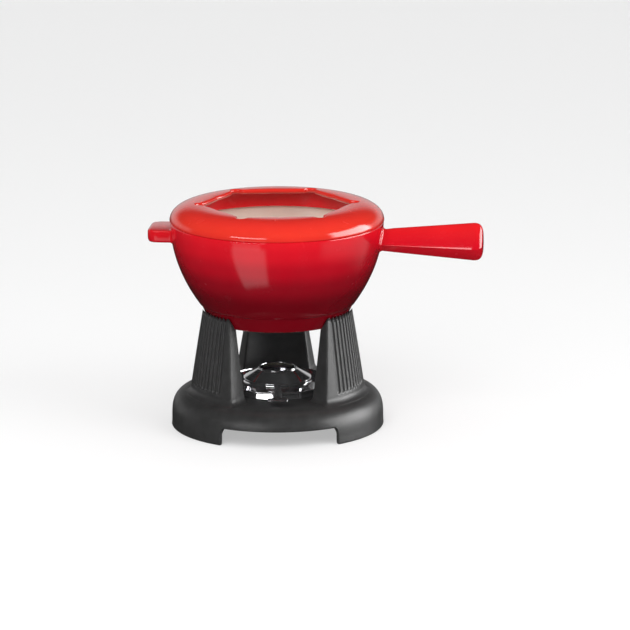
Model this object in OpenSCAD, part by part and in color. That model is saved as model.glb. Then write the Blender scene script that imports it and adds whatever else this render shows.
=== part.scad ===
// Fondue pot set: an enamelled pot with a fork guard ring, on a three-legged
// stand with a liquid-fuel burner. Millimetres, +Z up. The origin is the centre
// of the circle that the stand rests on, and the long handle points to about +X.

/* [Stand] */
// Radius of the stand at the table
stand_r = 106; // [95:1:115]
// Height of the flat plate that the burner stands on
plate_h = 36; // [30:1:40]
// Width and height of the rounded shoulder round the plate
shoulder = 30; // [24:1:30]
// Thickness of the cast shell
shell_t = 4; // [4:0.5:6]
// Height of the three arches between the feet
arch_h = 17; // [12:1:18]
// Half of the angle that each arch spans
arch_half_angle = 33; // [24:1:38]
// Turn of the stand's legs and arches, seen from above
stand_turn = 1; // [0:0.5:6]

/* [Legs] */
// Outer radius of the legs where they stand on the plate
leg_foot_r = 87; // [84:0.5:88]
// Outer radius of the legs at their top
leg_top_r = 74.5; // [73:0.5:76]
// Inner radius of the legs
leg_inner_r = 66.5; // [62:0.5:67]
// Width of a leg at the plate, across its outer face
leg_foot_w = 81; // [70:1:83]
// Width of a leg at its top, across its outer face
leg_top_w = 51; // [44:1:56]
// Angle between a leg's side faces and its middle plane
leg_side_angle = 18; // [8:1:20]
// Number of flutes on the outer face of a leg
flutes = 9; // [5:1:10]
// Depth of a flute
flute_depth = 1.2; // [0.6:0.1:1.6]

/* [Pot] */
// Height of the flat ledges that carry the pot
seat_z = 108; // [104:1:112]
// Outer radius of the pot at its rim
pot_r = 105.5; // [104:0.5:106]
// Height of the pot, from its foot ring to its rim
pot_h = 98; // [92:1:104]
// Thickness of the pot's wall
pot_wall = 4; // [3.5:0.5:6]
// Outer radius of the foot ring where it stands on the ledges
foot_r = 68.5; // [68:0.25:69]
// Height of the foot ring
foot_h = 15.5; // [14:0.5:17]
// Turn of the pot on its stand, seen from above
pot_turn = -6; // [-12:1:12]

/* [Handle and lug] */
// Distance from the pot's axis to the end of the long handle
handle_reach = 203.5; // [190:0.5:215]
// Height of the handle where it meets the pot
handle_root_h = 21; // [18:1:26]
// Height of the handle near its end
handle_end_h = 36; // [30:0.5:40]
// Distance from the pot's axis to the edge of the lug
lug_reach = 127; // [122:1:134]
// Width of the lug
lug_w = 46; // [40:1:60]
// Thickness of the lug
lug_t = 12.5; // [9:0.5:14]

/* [Guard ring] */
// Outer radius of the guard ring
ring_r = 106; // [104:0.5:107]
// Height of the guard ring above the pot's rim
ring_h = 17.5; // [14:0.5:19]
// Radius of the opening at its six fork notches
notch_r = 80; // [76:0.5:82]
// Radius of the opening in the middle of its six sides
side_r = 66.5; // [64:0.5:69]
// Turn of the six notches, seen from above
ring_turn = 3; // [0:1:30]

/* [Burner] */
// Outer radius of the burner's tray
tray_r = 54; // [50:0.5:56]
// Height of the tray's wall
tray_h = 8; // [6:0.5:9]
// Radius of the burner's mouth
mouth_r = 18.7; // [16:0.1:20]
// Radius of the cover at its band
cover_r = 34.2; // [33:0.1:36]
// Height of the whole burner
burner_h = 21.5; // [20:0.5:24]
// Reach of the lever from the burner's axis
lever_reach = 84; // [78:1:88]
// Width of the lever's strap
lever_w = 7.5; // [6:0.5:9]
// Width of the lever's grip
grip_w = 20; // [16:1:22]

/* [Hidden] */
$fn = 64;

gap = 0.35;
far = 300;

// Stand
shoulder_power = 3.3;
wall_draft = 0.5;
shoulder_steps = 14;
iron_black = [0.10, 0.10, 0.11];

// Legs
leg_azimuth = [90 + stand_turn, 210 + stand_turn, 330 + stand_turn];
leg_cut_z = seat_z + 16;
leg_slope = (leg_foot_r - leg_top_r) / (leg_cut_z - plate_h);
flute_start = 10;
flute_spread = 16.2;
flute_r = 2.2;

// Pot
rim_z = seat_z + pot_h;
bowl_depth = 143;
bowl_power = 0.79;
bowl_steps = 16;
foot_land = 6;
floor_z = seat_z + 9;
enamel_red = [0.72, 0.06, 0.10];

// Handle
handle_z = seat_z + 80.3;
handle_root_x = 96;
handle_root_w = 25;
handle_end_w = 33;
handle_end_x = handle_reach - 16;
section_power = 2.6;
section_steps = 32;
lug_top_z = rim_z - 7.9;
lug_corner = 11;

// Guard ring
ring_in_r = 60;
ring_power = 2.3;
ring_flat_r = 74;
ring_wall = 5.5;
flange_r = pot_r - pot_wall - 1.2;
flange_t = 4.5;
flange_drop = 6;
notch_round = 6;

// Burner
sheet = 1;
cup_r = 27;
cup_h = 8;
pad_h = 5;
gauze_t = 0.6;
collar_z = plate_h + sheet + cup_h;
collar_play = 0.3;
band_h = 5;
band_z = plate_h + 6;
cone_z = band_z + band_h;
mouth_z = plate_h + burner_h - 0.9;
strap_t = 1.5;
rivet_r = 0.9;
rivet_x = 2.2;
rivet_z = band_z + 1.7;
steel = [0.80, 0.80, 0.82];

// A quarter of a superellipse, from the outer edge up to the flat top.
function shoulder_arc(r, z, w, h, power, steps) = [
    for (i = [0 : steps])
        let (a = 90 * i / steps)
        [r - w + w * pow(cos(a), 2 / power), z + h * pow(sin(a), 2 / power)]
];

// Outer radius of the bowl at a depth below its rim.
function bowl_radius(depth) = pot_r * pow(1 - pow(depth / bowl_depth, 2), bowl_power);

// Outline of a closed superellipse, for the handle's sections.
function section_outline(w, h) = [
    for (i = [0 : section_steps - 1])
        let (a = 360 * (i + 0.5) / section_steps)
        [
            sign(cos(a)) * w / 2 * pow(abs(cos(a)), 2 / section_power),
            sign(sin(a)) * h / 2 * pow(abs(sin(a)), 2 / section_power)
        ]
];

bowl_outer = [
    for (i = [0 : bowl_steps])
        let (depth = (pot_h - foot_h) * i / bowl_steps)
        [bowl_radius(depth), rim_z - depth]
];
foot_outer = [
    [foot_r + 1.2, seat_z + 1.4],
    [foot_r, seat_z]
];

// Everything inside the pot's outer surface, with a chosen clearance round it.
module pot_outside(clear) {
    rotate_extrude($fn = 96)
        polygon(concat(
            [[0, rim_z]],
            [for (p = bowl_outer) [p[0] + clear, p[1]]],
            [for (p = foot_outer) [p[0] + clear, p[1]]],
            [[0, seat_z]]
        ));
}

module stand_shell() {
    upper = shoulder_arc(
        stand_r - wall_draft, plate_h - shoulder, shoulder, shoulder, shoulder_power, shoulder_steps
    );
    lower = shoulder_arc(
        stand_r - shell_t, plate_h - shoulder, shoulder - shell_t / 2, shoulder - shell_t,
        shoulder_power, shoulder_steps
    );
    rotate_extrude($fn = 96)
        polygon(concat(
            [[stand_r, 0]],
            upper,
            [[0, plate_h], [0, plate_h - shell_t]],
            [for (i = [0 : shoulder_steps]) lower[shoulder_steps - i]],
            [[stand_r - shell_t, 0]]
        ));
}

// A wedge standing on the arch's chord, with rounded upper corners.
module arch_cut() {
    half_w = stand_r * sin(arch_half_angle);
    corner = 4;
    translate([0, -stand_r * cos(arch_half_angle) + 14, 0])
        rotate([90, 0, 0])
            linear_extrude(60)
                union() {
                    translate([-half_w, -10])
                        square([2 * half_w, arch_h + 10 - corner]);
                    translate([-half_w + corner, -10])
                        square([2 * (half_w - corner), arch_h + 10]);
                    for (s = [-1, 1])
                        translate([s * (half_w - corner), arch_h - corner])
                            circle(corner, $fn = 32);
                }
}

module stand_base() {
    color(iron_black)
        difference() {
            stand_shell();
            for (a = [0, 120, 240])
                rotate([0, 0, a + stand_turn])
                    arch_cut();
        }
}

// Half of a leg's width at a distance x from the axis, where its outer corners lie at radius r.
function side_half(x, w, r) = w / 2 + (x - sqrt(r * r - w * w / 4)) * tan(leg_side_angle);

// Space between the side faces of a leg that points to +X.
module leg_wedge() {
    near = 40;
    out = 95;
    foot = [side_half(near, leg_foot_w, leg_foot_r), side_half(out, leg_foot_w, leg_foot_r)];
    top = [side_half(near, leg_top_w, leg_top_r), side_half(out, leg_top_w, leg_top_r)];
    points = [
        [near, -foot[0], plate_h], [out, -foot[1], plate_h],
        [out, foot[1], plate_h], [near, foot[0], plate_h],
        [near, -top[0], leg_cut_z], [out, -top[1], leg_cut_z],
        [out, top[1], leg_cut_z], [near, top[0], leg_cut_z]
    ];
    polyhedron(points, [
        [0, 1, 2, 3], [7, 6, 5, 4], [0, 4, 5, 1], [1, 5, 6, 2], [2, 6, 7, 3], [3, 7, 4, 0]
    ]);
}

// One round-bottomed flute, cut along the slope of the outer face.
module flute_cut(index) {
    turn = flutes > 1 ? flute_spread * (2 * index / (flutes - 1) - 1) : 0;
    start_z = plate_h + flute_start;
    start_r = leg_foot_r - leg_slope * (start_z - plate_h) + flute_r - flute_depth;
    rotate([0, 0, turn])
        translate([start_r, 0, start_z])
            rotate([0, -atan(leg_slope), 0]) {
                cylinder(h = leg_cut_z, r = flute_r, $fn = 24);
                sphere(flute_r, $fn = 24);
            }
}

// A leg that points to +X: a sector of a cone, hollowed to fit round the burner,
// and cut at its top to a level ledge and to the slope of the pot's foot ring.
module leg() {
    color(iron_black)
        difference() {
            intersection() {
                translate([0, 0, plate_h])
                    cylinder(h = leg_cut_z - plate_h, r1 = leg_foot_r, r2 = leg_top_r, $fn = 96);
                leg_wedge();
            }
            translate([0, 0, plate_h - 1])
                cylinder(h = far, r = leg_inner_r, $fn = 96);
            pot_outside(gap);
            for (i = [0 : flutes - 1])
                flute_cut(i);
        }
}

module leg_rear() {
    rotate([0, 0, leg_azimuth[0]])
        leg();
}

module leg_left() {
    rotate([0, 0, leg_azimuth[1]])
        leg();
}

module leg_right() {
    rotate([0, 0, leg_azimuth[2]])
        leg();
}

module pot_bowl() {
    inner_steps = 12;
    inner_depth = rim_z - floor_z - 14;
    inner_wall = [
        for (i = [0 : inner_steps])
            let (depth = inner_depth * i / inner_steps)
            [bowl_radius(depth) - pot_wall, rim_z - depth]
    ];
    low_r = bowl_radius(inner_depth) - pot_wall;
    bottom_curve = [
        for (i = [1 : 6])
            let (a = 90 * i / 6)
            [low_r - 22 + 22 * cos(a), floor_z + 14 - 14 * sin(a)]
    ];
    color(enamel_red)
        rotate_extrude($fn = 96)
            polygon(concat(
                bowl_outer,
                foot_outer,
                [
                    [foot_r - foot_land, seat_z],
                    [foot_r - foot_land - 1.5, seat_z + 3.5],
                    [0, seat_z + 3.5],
                    [0, floor_z]
                ],
                [for (i = [1 : 6]) bottom_curve[6 - i]],
                [for (i = [0 : inner_steps]) inner_wall[inner_steps - i]]
            ));
}

// One thin section of the handle, standing across the X axis.
module handle_section(x, w, h) {
    translate([x, 0, handle_z])
        rotate([90, 0, 90])
            linear_extrude(0.1)
                polygon(section_outline(w, h));
}

module pot_handle() {
    color(enamel_red)
        rotate([0, 0, pot_turn])
            difference() {
                hull() {
                    handle_section(handle_root_x, handle_root_w - 2, handle_root_h - 2);
                    handle_section(handle_end_x, handle_end_w, handle_end_h);
                    handle_section(handle_reach - 8, handle_end_w - 1.5, handle_end_h - 1.5);
                    handle_section(handle_reach - 3, handle_end_w - 7, handle_end_h - 7);
                    handle_section(handle_reach - 0.1, handle_end_w - 16, handle_end_h - 16);
                }
                pot_outside(0);
            }
}

module pot_lug() {
    color(enamel_red)
        rotate([0, 0, pot_turn])
            difference() {
                translate([0, 0, lug_top_z - lug_t])
                    linear_extrude(lug_t)
                        union() {
                            translate([-lug_reach + lug_corner, -lug_w / 2])
                                square([lug_reach - 90, lug_w]);
                            translate([-lug_reach, -lug_w / 2 + lug_corner])
                                square([lug_reach - 90, lug_w - 2 * lug_corner]);
                            for (s = [-1, 1])
                                translate([-lug_reach + lug_corner, s * (lug_w / 2 - lug_corner)])
                                    circle(lug_corner, $fn = 48);
                        }
                pot_outside(0);
            }
}

// Plan of the opening: six sides that bow inwards and meet in six rounded fork notches.
module ring_opening() {
    flank = [notch_r - notch_round * 0.5, notch_round * 0.87];
    middle = [side_r * cos(30), side_r * sin(30)];
    rotate([0, 0, ring_turn])
        linear_extrude(far) {
            for (i = [0 : 5])
                rotate([0, 0, 60 * i])
                    translate([notch_r - notch_round, 0])
                        circle(notch_round, $fn = 48);
            polygon([
                for (i = [0 : 5])
                    for (p = [[flank[0], -flank[1]], flank, middle])
                        [
                            p[0] * cos(60 * i) - p[1] * sin(60 * i),
                            p[0] * sin(60 * i) + p[1] * cos(60 * i)
                        ]
            ]);
        }
}

module guard_ring() {
    dome = shoulder_arc(ring_r, rim_z, ring_r - ring_flat_r, ring_h, ring_power, 12);
    color(enamel_red)
        difference() {
            rotate_extrude($fn = 96)
                polygon(concat(
                    dome,
                    [
                        [ring_in_r, rim_z + ring_h],
                        [ring_in_r, rim_z + ring_h - ring_wall],
                        [flange_r - flange_t - 7, rim_z + ring_h - ring_wall],
                        [flange_r - flange_t - 2, rim_z + ring_h - ring_wall - 2],
                        [flange_r - flange_t, rim_z + ring_h - ring_wall - 6],
                        [flange_r - flange_t, rim_z - flange_drop],
                        [flange_r - 0.8, rim_z - flange_drop],
                        [flange_r, rim_z - flange_drop + 1.5],
                        [flange_r, rim_z]
                    ]
                ));
            ring_opening();
        }
}

module burner_tray() {
    rim_roll = 0.9;
    color(steel)
        rotate_extrude($fn = 96)
            union() {
                translate([0, plate_h])
                    square([tray_r - 1.6, sheet]);
                translate([tray_r - 1 - sheet, plate_h])
                    square([sheet, tray_h - rim_roll]);
                translate([tray_r - rim_roll, plate_h + tray_h - rim_roll])
                    circle(rim_roll, $fn = 24);
            }
}

module fuel_cup() {
    color(steel)
        translate([0, 0, plate_h + sheet])
            difference() {
                cylinder(h = cup_h, r = cup_r);
                translate([0, 0, sheet])
                    cylinder(h = cup_h, r = cup_r - sheet);
            }
}

module fuel_pad() {
    color("ivory")
        translate([0, 0, plate_h + 2 * sheet])
            cylinder(h = pad_h, r = cup_r - sheet);
}

module wire_gauze() {
    color("gray")
        translate([0, 0, plate_h + 2 * sheet + pad_h])
            cylinder(h = gauze_t, r = cup_r - sheet);
}

module gauze_clip() {
    clip_h = 1.2;
    color(steel)
        translate([0, 0, plate_h + 2 * sheet + pad_h + gauze_t])
            difference() {
                cylinder(h = clip_h, r = cup_r - sheet);
                translate([0, 0, -1])
                    cylinder(h = clip_h + 2, r = cup_r - 3 * sheet);
            }
}

// Perforated ring on the cup's lip. Its wall is the journal that the cover turns on.
module vent_collar() {
    wall_r = cover_r - sheet - collar_play;
    vents = 12;
    color(steel)
        difference() {
            rotate_extrude($fn = 96)
                union() {
                    translate([cup_r - 3.5, collar_z])
                        square([wall_r - cup_r + 3.5, sheet]);
                    translate([wall_r - sheet, band_z - 1.5])
                        square([sheet, cone_z - band_z + 0.8]);
                }
            for (i = [0 : vents - 1])
                rotate([0, 0, 360 * (i + 0.5) / vents])
                    translate([(cup_r + wall_r) / 2 - 0.5, 0, collar_z - 1])
                        cylinder(h = sheet + 2, r = 1.3, $fn = 24);
        }
}

module rivet_holes() {
    for (s = [-1, 1])
        translate([s * rivet_x, 0, rivet_z])
            rotate([90, 0, 0])
                cylinder(h = cover_r + 4, r = rivet_r, $fn = 24);
}

// Conical cover with a plain mouth, over a straight band.
module burner_cover() {
    color(steel)
        difference() {
            rotate_extrude($fn = 96)
                union() {
                    polygon([
                        [cover_r - sheet, band_z],
                        [cover_r, band_z],
                        [cover_r, cone_z],
                        [mouth_r, mouth_z],
                        [mouth_r - sheet, mouth_z],
                        [cover_r - sheet, cone_z - 0.6]
                    ]);
                    translate([mouth_r - 0.5, mouth_z])
                        circle(0.9, $fn = 24);
                }
            rivet_holes();
        }
}

// Outline of the strap seen from the side: up the band, over the tray's rim, and down.
module lever_arm() {
    over_z = plate_h + tray_h + 1.2;
    knee = tray_r + 3;
    end_r = lever_reach - 10;
    end_z = over_z - 3;
    color(steel)
        difference() {
            translate([lever_w / 2, 0, 0])
                rotate([90, 0, -90])
                    linear_extrude(lever_w)
                        polygon([
                            [cover_r + 0.05, band_z + 0.2],
                            [cover_r + 0.05 + strap_t, band_z + 0.2],
                            [cover_r + 0.05 + strap_t, over_z],
                            [knee, over_z],
                            [end_r, end_z],
                            [end_r, end_z + strap_t],
                            [knee, over_z + strap_t],
                            [cover_r + 0.05, over_z + strap_t]
                        ]);
            rivet_holes();
        }
}

module lever_grip() {
    end_r = lever_reach - 10;
    grip_z = plate_h + tray_h - 1.8;
    corner = 1.5;
    color(steel)
        translate([0, -end_r, grip_z])
            linear_extrude(strap_t + 0.5)
                union() {
                    translate([-grip_w / 2 + corner, -10])
                        square([grip_w - 2 * corner, 10]);
                    translate([-grip_w / 2, -10 + corner])
                        square([grip_w, 10 - corner]);
                    for (s = [-1, 1])
                        translate([s * (grip_w / 2 - corner), -10 + corner])
                            circle(corner, $fn = 24);
                }
}

module lever_rivets() {
    head_r = 1.4;
    head_t = 0.7;
    color(steel)
        for (s = [-1, 1])
            translate([s * rivet_x, -(cover_r + 0.05 + strap_t), rivet_z])
                rotate([-90, 0, 0]) {
                    translate([0, 0, -head_t])
                        cylinder(h = head_t, r = head_r, $fn = 24);
                    cylinder(h = strap_t + sheet + 0.05, r = rivet_r, $fn = 24);
                }
}

stand_base();
leg_rear();
leg_left();
leg_right();
pot_bowl();
pot_handle();
pot_lug();
guard_ring();
burner_tray();
fuel_cup();
fuel_pad();
wire_gauze();
gauze_clip();
vent_collar();
burner_cover();
lever_arm();
lever_grip();
lever_rivets();
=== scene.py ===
"""Looks of a fondue pot set: enamelled pot and guard ring, cast stand, chromed burner.

Lengths are millimetres in the shape functions and become metres when a mesh is made.
The camera stands on the -Y side, the pot's long handle points to about +X.
"""

import math

import bmesh
import bpy
import numpy as np
from mathutils import Matrix, Vector


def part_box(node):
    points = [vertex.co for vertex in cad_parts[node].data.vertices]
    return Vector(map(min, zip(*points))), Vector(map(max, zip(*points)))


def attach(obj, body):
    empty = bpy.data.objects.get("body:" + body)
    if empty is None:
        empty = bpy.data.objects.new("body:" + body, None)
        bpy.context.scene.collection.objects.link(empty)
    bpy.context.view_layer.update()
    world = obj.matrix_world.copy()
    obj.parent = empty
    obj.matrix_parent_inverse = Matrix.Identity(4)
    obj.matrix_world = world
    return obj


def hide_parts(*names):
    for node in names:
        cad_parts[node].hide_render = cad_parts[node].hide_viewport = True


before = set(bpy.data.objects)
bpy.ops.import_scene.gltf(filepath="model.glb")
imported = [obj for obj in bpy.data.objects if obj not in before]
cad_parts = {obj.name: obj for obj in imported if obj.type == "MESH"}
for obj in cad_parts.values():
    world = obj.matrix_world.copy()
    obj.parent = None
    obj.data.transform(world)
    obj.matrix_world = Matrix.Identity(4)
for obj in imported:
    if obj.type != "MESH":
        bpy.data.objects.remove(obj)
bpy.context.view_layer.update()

MM = 0.001


def node_span(node):
    """Lowest and highest corner of a CAD node, in millimetres."""
    low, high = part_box(node)
    return np.array(low) / MM, np.array(high) / MM


# ---------------------------------------------------------------- sizes from the frame

stand_high = node_span("stand_base")[1]
bowl_low, bowl_high = node_span("pot_bowl")
ring_high = node_span("guard_ring")[1]
tray_low, tray_high = node_span("burner_tray")
cover_low, cover_high = node_span("burner_cover")
handle_low, handle_high = node_span("pot_handle")
lug_low, lug_high = node_span("pot_lug")
lever_low, lever_high = node_span("lever_arm")
grip_low, grip_high = node_span("lever_grip")
gauze_low, gauze_high = node_span("wire_gauze")
pad_low, pad_high = node_span("fuel_pad")

STAND_R = stand_high[1]
PLATE_Z = stand_high[2]
SEAT_Z = bowl_low[2]
RIM_Z = bowl_high[2]
POT_R = bowl_high[1]
POT_H = RIM_Z - SEAT_Z
RING_R = ring_high[1]
RING_TOP = ring_high[2]
TRAY_R = tray_high[0]
COVER_R = cover_high[0]

# Bowl: the radius shrinks with depth below the rim by one smooth law.
BOWL_DEPTH = 143.0
BOWL_POWER = 0.79
POT_WALL = 4.0
FOOT_H = 15.5
FOOT_R = 68.5
FOOT_BEVEL_R = 1.2
FOOT_BEVEL_H = 1.4
FLOOR_RISE = 9
FLOOR_Z = SEAT_Z + FLOOR_RISE
INNER_ROUND_H = 14
INNER_ROUND_R = 26

# Stand
SHOULDER = 30.0
SHOULDER_POWER = 3.3
SHELL_T = 4.0
DRAFT = 0.5
ARCH_H = 17.0
ARCH_HALF_ANGLE = 33.0

# Legs
LEG_FOOT_R = 87.0
LEG_TOP_R = 74.5
LEG_FOOT_W = 81.0
LEG_TOP_W = 51.0
LEG_INNER_R = 66.5
LEG_SIDE_ANGLE = 18.0
LEG_CUT_Z = SEAT_Z + 16
SEAT_GAP = 0.45
STAND_TURN = 1.0
LEG_AZIMUTHS = {"leg_rear": 90.0, "leg_left": 210.0, "leg_right": 330.0}
FLUTES = 9
FLUTE_SPREAD = 18.2
FLUTE_DEPTH = 1.5
FLUTE_START = 8.5
FLUTE_END_Z = LEG_CUT_Z - 4
FLUTE_RUN_OUT = 2.5
FLUTE_WIDTH = 0.8

# Pot fittings
POT_TURN = -6.0
RING_TURN = 3.0
NOTCH_R = 80.0
NOTCH_ROUND = 6.0
SIDE_R = 66.5

# Heights in metres between which the handle's and the lug's red grows lighter: painted shade, darkest
# on their undersides and lightest on top.
HANDLE_PAINTED_SHADE_HEIGHTS = (0.170, 0.206)


# ---------------------------------------------------------------- outlines

def rounded_path(corners, closed=False, steps=5):
    """Points along a path whose corners are (x, y, radius), each rounded by an arc."""
    out = []
    count = len(corners)
    for i, (x, y, radius) in enumerate(corners):
        here = np.array([x, y], float)
        if radius == 0 or (not closed and i in (0, count - 1)):
            out.append(here)
            continue
        back = np.array(corners[i - 1][:2]) - here
        ahead = np.array(corners[(i + 1) % count][:2]) - here
        back_len, ahead_len = np.linalg.norm(back), np.linalg.norm(ahead)
        back, ahead = back / back_len, ahead / ahead_len
        half = math.acos(float(np.clip(back @ ahead, -1, 1))) / 2
        cut = min(radius / math.tan(half), 0.49 * back_len, 0.49 * ahead_len)
        arc_r = cut * math.tan(half)
        middle = back + ahead
        centre = here + middle / np.linalg.norm(middle) * arc_r / math.sin(half)
        start = (here + back * cut - centre) / arc_r
        end = (here + ahead * cut - centre) / arc_r
        sweep = math.acos(float(np.clip(start @ end, -1, 1)))
        for k in range(steps + 1):
            t = k / steps
            arm = math.sin((1 - t) * sweep) * start + math.sin(t * sweep) * end
            out.append(centre + arc_r * arm / math.sin(sweep))
    return np.array(out)


def subdivide(path, longest):
    """The same path with extra points, so that no step is longer than longest."""
    out = [path[0]]
    for a, b in zip(path[:-1], path[1:]):
        parts = max(1, math.ceil(np.linalg.norm(b - a) / longest))
        for k in range(1, parts + 1):
            out.append(a + (b - a) * k / parts)
    return np.array(out)


def left_normals(path):
    """Unit normals of an open path, on its left-hand side."""
    step = np.gradient(path, axis=0)
    step /= np.linalg.norm(step, axis=1)[:, None]
    return np.stack([-step[:, 1], step[:, 0]], axis=1)


def bowl_radius(depth):
    """Outer radius of the bowl at a depth below its rim."""
    return POT_R * (1 - (depth / BOWL_DEPTH) ** 2) ** BOWL_POWER


def shoulder_radius(z):
    """Outer radius of the stand's base at a height."""
    wall_top = PLATE_Z - SHOULDER
    if z <= wall_top:
        return STAND_R - DRAFT * z / wall_top
    rise = min(1.0, (z - wall_top) / SHOULDER)
    flat_r = STAND_R - DRAFT - SHOULDER
    return flat_r + SHOULDER * (1 - rise ** SHOULDER_POWER) ** (1 / SHOULDER_POWER)


def plate_height(r):
    """Height of the stand's top surface at a radius."""
    flat_r = STAND_R - DRAFT - SHOULDER
    out = min(0.999, max(0.0, (r - flat_r) / SHOULDER))
    return PLATE_Z - SHOULDER + SHOULDER * (1 - out ** SHOULDER_POWER) ** (1 / SHOULDER_POWER)


def opening_radius(turn):
    """Radius of the guard ring's opening at an angle in degrees."""
    local = math.radians((turn - RING_TURN + 30) % 60 - 30)
    centre = NOTCH_R - NOTCH_ROUND
    across = abs(local) * 6 / math.pi
    side = SIDE_R + (NOTCH_R - 3.2 - SIDE_R) * (1 - across) ** 2.1
    side = side / (1 + 0.07 * across * (1 - across))
    reach = NOTCH_ROUND ** 2 - (centre * math.sin(local)) ** 2
    if reach <= 0:
        return side
    return max(side, centre * math.cos(local) + math.sqrt(reach))


# ---------------------------------------------------------------- meshes

def make_piece(name, points, faces, materials, body, nodes=(), face_slots=None):
    """A smooth mesh from millimetre points, riding on a body and standing for CAD nodes."""
    mesh = bpy.data.meshes.new(name)
    mesh.from_pydata([tuple(p * MM) for p in np.asarray(points, float)], [], faces)
    for material in materials:
        mesh.materials.append(material)
    if face_slots is not None:
        mesh.polygons.foreach_set("material_index", face_slots)
    work = bmesh.new()
    work.from_mesh(mesh)
    bmesh.ops.remove_doubles(work, verts=work.verts, dist=1e-6)
    bmesh.ops.dissolve_degenerate(work, edges=work.edges, dist=1e-7)
    bmesh.ops.recalc_face_normals(work, faces=work.faces)
    for face in work.faces:
        face.smooth = True
    work.to_mesh(mesh)
    work.free()
    piece = bpy.data.objects.new(name, mesh)
    bpy.context.scene.collection.objects.link(piece)
    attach(piece, body)
    if nodes:
        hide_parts(*nodes)
    return piece


def grid_faces(rows, cols, close_rows=False, close_cols=True, start=0):
    """Quads of a grid of rows by cols points."""
    faces = []
    for i in range(rows if close_rows else rows - 1):
        for j in range(cols if close_cols else cols - 1):
            k, m = (i + 1) % rows, (j + 1) % cols
            corners = (i * cols + j, i * cols + m, k * cols + m, k * cols + j)
            faces.append(tuple(start + n for n in corners))
    return faces


def capped_faces(rows, cols, start=0):
    """Faces of a tube of rows by cols points, with one face over each end."""
    faces = grid_faces(rows, cols, start=start)
    faces.append(tuple(start + j for j in range(cols)))
    faces.append(tuple(start + (rows - 1) * cols + j for j in range(cols)))
    return faces


def lathe_points(profile, segments):
    """Rows of points of an (r, z) profile turned about Z."""
    turns = np.linspace(0, 2 * np.pi, segments, endpoint=False)
    rows = [[(r * math.cos(a), r * math.sin(a), z) for a in turns] for r, z in profile]
    return np.array(rows).reshape(-1, 3)


def lathe(name, profile, materials, body, nodes=(), segments=192, closed=True, changes=()):
    """A turned solid. At each profile point named in changes, the next material begins."""
    points = lathe_points(profile, segments)
    faces = grid_faces(len(profile), segments, close_rows=closed)
    face_slots = None
    if changes:
        face_slots = [sum(index // segments >= at for at in changes) for index in range(len(faces))]
    return make_piece(name, points, faces, materials, body, nodes, face_slots)


def turned(points, degrees):
    """Points turned about Z."""
    a = math.radians(degrees)
    spin = np.array([[math.cos(a), -math.sin(a), 0], [math.sin(a), math.cos(a), 0], [0, 0, 1]])
    return np.asarray(points) @ spin.T


# ---------------------------------------------------------------- materials

def new_material(name):
    """A node material, its tree and its Principled shader."""
    material = bpy.data.materials.new(name)
    material.use_nodes = True
    tree = material.node_tree
    shader = tree.nodes["Principled BSDF"]
    return material, tree, shader


def add_node(tree, kind, **settings):
    """A new node; each setting goes to the input or the property of that name."""
    node = tree.nodes.new(kind)
    for key, value in settings.items():
        if key in node.inputs:
            node.inputs[key].default_value = value
        else:
            setattr(node, key, value)
    return node


def noise_bump(tree, shader, layers, distance):
    """Bump from noise layers, each (scale, strength), chained one on another."""
    place = add_node(tree, "ShaderNodeTexCoord")
    normal = None
    for scale, strength in layers:
        noise = add_node(tree, "ShaderNodeTexNoise", Scale=scale, Detail=3.0, Roughness=0.55)
        tree.links.new(place.outputs["Object"], noise.inputs["Vector"])
        bump = add_node(tree, "ShaderNodeBump", Strength=strength, Distance=distance)
        tree.links.new(noise.outputs["Fac"], bump.inputs["Height"])
        if normal:
            tree.links.new(normal, bump.inputs["Normal"])
        normal = bump.outputs["Normal"]
    tree.links.new(normal, shader.inputs["Normal"])
    return place


def height_colour(tree, place, low_z, high_z, stops):
    """Colour that follows height between two levels in metres, through (position, rgb) stops."""
    split = add_node(tree, "ShaderNodeSeparateXYZ")
    tree.links.new(place.outputs["Object"], split.inputs["Vector"])
    span = add_node(tree, "ShaderNodeMapRange")
    span.inputs["From Min"].default_value = low_z
    span.inputs["From Max"].default_value = high_z
    tree.links.new(split.outputs["Z"], span.inputs["Value"])
    ramp = add_node(tree, "ShaderNodeValToRGB")
    ramp.color_ramp.interpolation = "EASE"
    while len(ramp.color_ramp.elements) < len(stops):
        ramp.color_ramp.elements.new(0.5)
    for element, (position, rgb) in zip(ramp.color_ramp.elements, stops):
        element.position = position
        element.color = (*rgb, 1)
    tree.links.new(span.outputs["Result"], ramp.inputs["Fac"])
    return ramp.outputs["Color"]


def clouds(tree, place, scale, detail, low, high):
    """A value that wanders softly between two levels."""
    noise = add_node(tree, "ShaderNodeTexNoise", Scale=scale, Detail=detail)
    tree.links.new(place.outputs["Object"], noise.inputs["Vector"])
    level = add_node(tree, "ShaderNodeMapRange")
    level.inputs["From Min"].default_value = 0.3
    level.inputs["From Max"].default_value = 0.7
    level.inputs["To Min"].default_value = low
    level.inputs["To Max"].default_value = high
    tree.links.new(noise.outputs["Fac"], level.inputs["Value"])
    return level.outputs["Result"]


def vary(tree, place, colour, scale, amount):
    """The same colour with soft lighter and darker clouds."""
    level = clouds(tree, place, scale, 4.0, 1 - amount, 1 + amount)
    shade = add_node(tree, "ShaderNodeHueSaturation")
    tree.links.new(colour, shade.inputs["Color"])
    tree.links.new(level, shade.inputs["Value"])
    return shade.outputs["Color"]


def plain_colour(tree, rgb):
    """One even colour."""
    node = add_node(tree, "ShaderNodeRGB")
    node.outputs["Color"].default_value = (*rgb, 1)
    return node.outputs["Color"]


def vary_roughness(tree, place, shader, scale, low, high):
    """Roughness that wanders between two values."""
    tree.links.new(clouds(tree, place, scale, 5.0, low, high), shader.inputs["Roughness"])


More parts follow.
